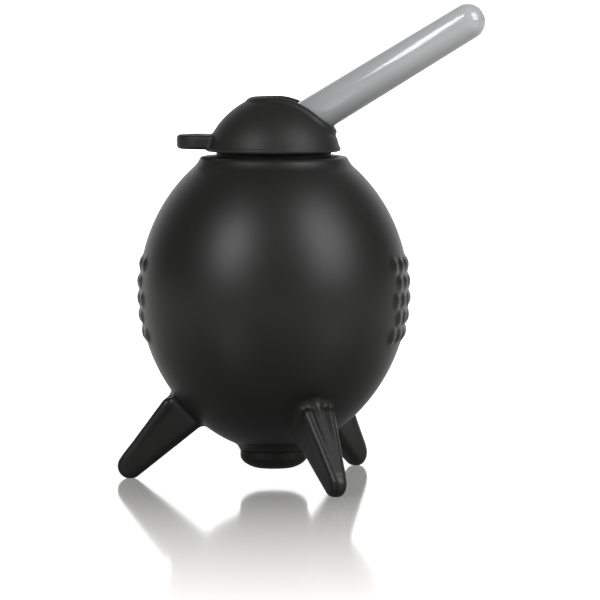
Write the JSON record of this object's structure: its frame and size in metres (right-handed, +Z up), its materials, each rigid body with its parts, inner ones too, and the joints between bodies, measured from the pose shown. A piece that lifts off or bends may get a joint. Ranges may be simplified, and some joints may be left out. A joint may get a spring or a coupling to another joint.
{
  "type": "dust blower bulb",
  "caption": "Egg-shaped rubber squeeze bulb standing on moulded legs, with an intake valve beneath and a swivelling domed head whose translucent nozzle tilts.",
  "frame": {"origin": "on the bulb's axis, at the plane that the three feet stand on", "axes": "+Z up along the bulb's axis; +X towards the nozzle, which lies in the XZ plane; one leg points along -X under the tab"},
  "size_m": [0.0877, 0.0664, 0.1133],
  "materials": {
    "bulb_rubber": "matt moulded silicone rubber",
    "head_plastic": "fine satin moulding",
    "valve_plastic": "satin moulding",
    "inner_plastic": "plain moulding",
    "nozzle_plastic": "translucent smoked grey, glossy",
    "seal_rubber": "smooth",
    "ring_steel": "plain spring steel",
    "filter_felt": "white needled felt"
  },
  "bodies": {
    "base": {"bulb": "bulb_rubber", "valve_housing": "valve_plastic", "valve_grille": "valve_plastic", "dust_filter": "filter_felt", "valve_retainer": "inner_plastic"},
    "intake_flap": {"valve_disc": "seal_rubber"},
    "neck": {"neck_collar": "inner_plastic"},
    "head": {"head_base": "inner_plastic", "head_dome": "head_plastic", "ball_seat": "seal_rubber", "swivel_oring": "seal_rubber", "retaining_ring": "ring_steel"},
    "nozzle": {"nozzle": "nozzle_plastic", "nozzle_ball": "inner_plastic"}
  },
  "joints": [
    {"name": "bulb_press", "type": "slide", "parent": "base", "child": "neck", "axis": [0, 0, -1], "range_m": [0, 0.012], "stiffness_N_per_m": 800, "springref_m": -0.001, "deforming": ["bulb"]},
    {"name": "head_swivel", "type": "hinge", "parent": "neck", "child": "head", "pos_m": [0, 0, 0.078], "axis": [0, 0, 1], "continuous": true},
    {"name": "nozzle_tilt", "type": "hinge", "parent": "head", "child": "nozzle", "pos_m": [0, 0, 0.081], "axis": [0, -1, 0], "range_deg": [0, 58.5]},
    {"name": "intake_valve", "type": "slide", "parent": "base", "child": "intake_flap", "axis": [0, 0, 1], "range_m": [0, 0.0008]}
  ]
}
